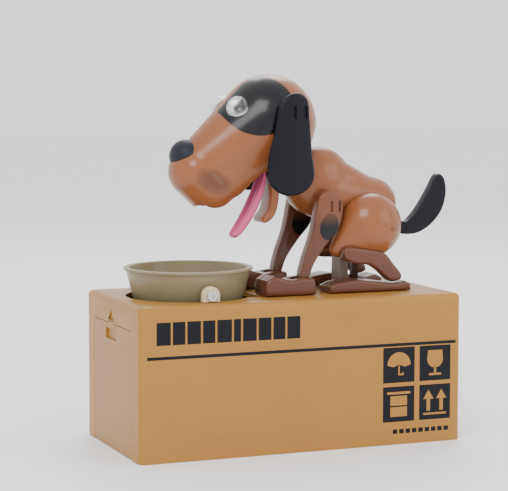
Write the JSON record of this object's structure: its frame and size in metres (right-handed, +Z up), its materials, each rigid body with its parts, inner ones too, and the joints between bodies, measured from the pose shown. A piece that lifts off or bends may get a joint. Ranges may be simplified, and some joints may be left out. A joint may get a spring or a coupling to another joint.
{
  "type": "mechanical coin bank",
  "caption": "Battery coin bank: a toy dog on a box dips its head to a tipping bowl, and the coin drops through a slot into a compartment with an end door.",
  "frame": {"origin": "centre of the bounding box at the underside of the box", "axes": "+Z up, -X towards the bowl end where the dog faces, -Y towards the face on the dog's left"},
  "size_m": [0.1816, 0.084, 0.1831],
  "materials": {
    "kraft_plastic": "satin golden-tan moulding",
    "tan_plastic": "satin caramel moulding",
    "dusk_plastic": "satin brown moulding",
    "navy_plastic": "matt near-black",
    "olive_plastic": "satin grey-olive",
    "cream_plastic": "satin cream",
    "taupe_plastic": "matt grey-brown",
    "white_plastic": "natural white",
    "pink_plastic": "soft pink",
    "clear_plastic": "clear dome",
    "black_bead": "gloss black",
    "steel": "plated steel",
    "cell_label": "printed sleeve",
    "board": "solder mask"
  },
  "bodies": {
    "base": {"box_shell": "kraft_plastic", "base_plate": "kraft_plastic", "battery_cover": "kraft_plastic", "divider_wall": "taupe_plastic", "battery_tray": "taupe_plastic", "switch_body": "taupe_plastic", "gearbox_plate_near": "taupe_plastic", "gearbox_plate_far": "taupe_plastic", "gearbox_spacer": "taupe_plastic", "support_post": "taupe_plastic", "battery_1": "cell_label", "battery_2": "cell_label", "battery_contact_near": "steel", "battery_contact_far": "steel", "battery_cover_screw": "steel", "motor": "steel", "crank_axle": "steel", "compound_axle": "steel", "bowl_screw_left": "steel", "bowl_screw_right": "steel", "bowl_switch": "navy_plastic", "front_paw_left": "dusk_plastic", "front_paw_right": "dusk_plastic", "shin_left": "dusk_plastic", "shin_right": "dusk_plastic", "hind_foot_left": "dusk_plastic", "hind_foot_right": "dusk_plastic", "circuit_board": "board", "bowl_bracket_left": "cream_plastic", "bowl_bracket_right": "cream_plastic", "thigh_left": "tan_plastic", "thigh_right": "tan_plastic"},
    "torso": {"torso_left": "tan_plastic", "torso_right": "tan_plastic", "hip_pin": "steel", "rod_pin": "steel", "shoulder_pin": "steel", "neck_link": "dusk_plastic"},
    "head": {"head_left": "tan_plastic", "head_right": "tan_plastic", "neck_pin": "steel", "nose": "navy_plastic", "eye_left": "clear_plastic", "eye_right": "clear_plastic", "eye_bead_left": "black_bead", "eye_bead_right": "black_bead"},
    "left_ear": {"ear_left": "navy_plastic"},
    "right_ear": {"ear_right": "navy_plastic"},
    "lower_jaw": {"jaw": "tan_plastic", "tongue": "pink_plastic"},
    "tail_arm": {"tail": "navy_plastic"},
    "left_leg": {"front_leg_left": "dusk_plastic"},
    "right_leg": {"front_leg_right": "dusk_plastic"},
    "coin_bowl": {"bowl": "olive_plastic"},
    "door": {"coin_door": "kraft_plastic"},
    "crank": {"crank_gear": "white_plastic"},
    "compound": {"compound_gear": "white_plastic"},
    "pinion": {"motor_pinion": "white_plastic"},
    "rod": {"push_rod": "dusk_plastic"},
    "slider": {"switch_slider": "navy_plastic"}
  },
  "joints": [
    {"name": "body_rock", "type": "hinge", "parent": "base", "child": "torso", "pos_m": [0.0312, 0, 0.114], "axis": [0, -1, 0], "range_deg": [0, 12]},
    {"name": "head_nod", "type": "hinge", "parent": "torso", "child": "head", "pos_m": [0.0022, 0, 0.148], "axis": [0, -1, 0], "range_deg": [0, 18]},
    {"name": "jaw_close", "type": "hinge", "parent": "head", "child": "lower_jaw", "pos_m": [-0.0078, 0, 0.139], "axis": [0, 1, 0], "range_deg": [0, 32]},
    {"name": "ear_left_swing", "type": "hinge", "parent": "head", "child": "left_ear", "pos_m": [-0.0073, -0.027, 0.168], "axis": [0, 1, 0], "range_deg": [-20, 20]},
    {"name": "ear_right_swing", "type": "hinge", "parent": "head", "child": "right_ear", "pos_m": [-0.0073, 0.027, 0.168], "axis": [0, 1, 0], "range_deg": [-20, 20]},
    {"name": "leg_left_lean", "type": "hinge", "parent": "torso", "child": "left_leg", "pos_m": [0.0156, -0.017, 0.1185], "axis": [0, 1, 0], "range_deg": [0, 12]},
    {"name": "leg_right_lean", "type": "hinge", "parent": "torso", "child": "right_leg", "pos_m": [0.0156, 0.017, 0.1185], "axis": [0, 1, 0], "range_deg": [0, 12]},
    {"name": "tail_lift", "type": "hinge", "parent": "torso", "child": "tail_arm", "pos_m": [0.0602, 0, 0.1097], "axis": [0, -1, 0], "range_deg": [0, 12]},
    {"name": "rod_slide", "type": "slide", "parent": "base", "child": "rod", "axis": [0, 0, 1], "range_m": [0, 0.0018]},
    {"name": "bowl_tilt", "type": "hinge", "parent": "base", "child": "coin_bowl", "pos_m": [-0.0521, 0, 0.0776], "axis": [0, 1, 0], "range_deg": [0, 8], "stiffness_Nm_per_rad": 0.02, "springref_deg": -3.44},
    {"name": "door_open", "type": "hinge", "parent": "base", "child": "door", "pos_m": [-0.0884, 0, 0.0026], "axis": [0, -1, 0], "range_deg": [0, 90]},
    {"name": "switch_slide", "type": "slide", "parent": "base", "child": "slider", "axis": [1, 0, 0], "range_m": [0, 0.004]},
    {"name": "crank_spin", "type": "hinge", "parent": "base", "child": "crank", "pos_m": [0.0392, 0, 0.052], "axis": [0, -1, 0], "continuous": true},
    {"name": "compound_spin", "type": "hinge", "parent": "base", "child": "compound", "pos_m": [0.05663, 0, 0.04566], "axis": [0, -1, 0], "continuous": true},
    {"name": "pinion_spin", "type": "hinge", "parent": "base", "child": "pinion", "pos_m": [0.06081, 0, 0.03006], "axis": [0, -1, 0], "continuous": true}
  ],
  "couplings": [
    {"joint": "head_nod", "follows": "body_rock", "ratio": 1.5},
    {"joint": "jaw_close", "follows": "body_rock", "ratio": 2.6667},
    {"joint": "leg_left_lean", "follows": "body_rock", "ratio": 1},
    {"joint": "leg_right_lean", "follows": "body_rock", "ratio": 1},
    {"joint": "tail_lift", "follows": "body_rock", "ratio": 1},
    {"joint": "rod_slide", "follows": "body_rock", "m_per_rad": 0.008},
    {"joint": "compound_spin", "follows": "crank_spin", "ratio": -3.6},
    {"joint": "pinion_spin", "follows": "crank_spin", "ratio": 10.8}
  ]
}
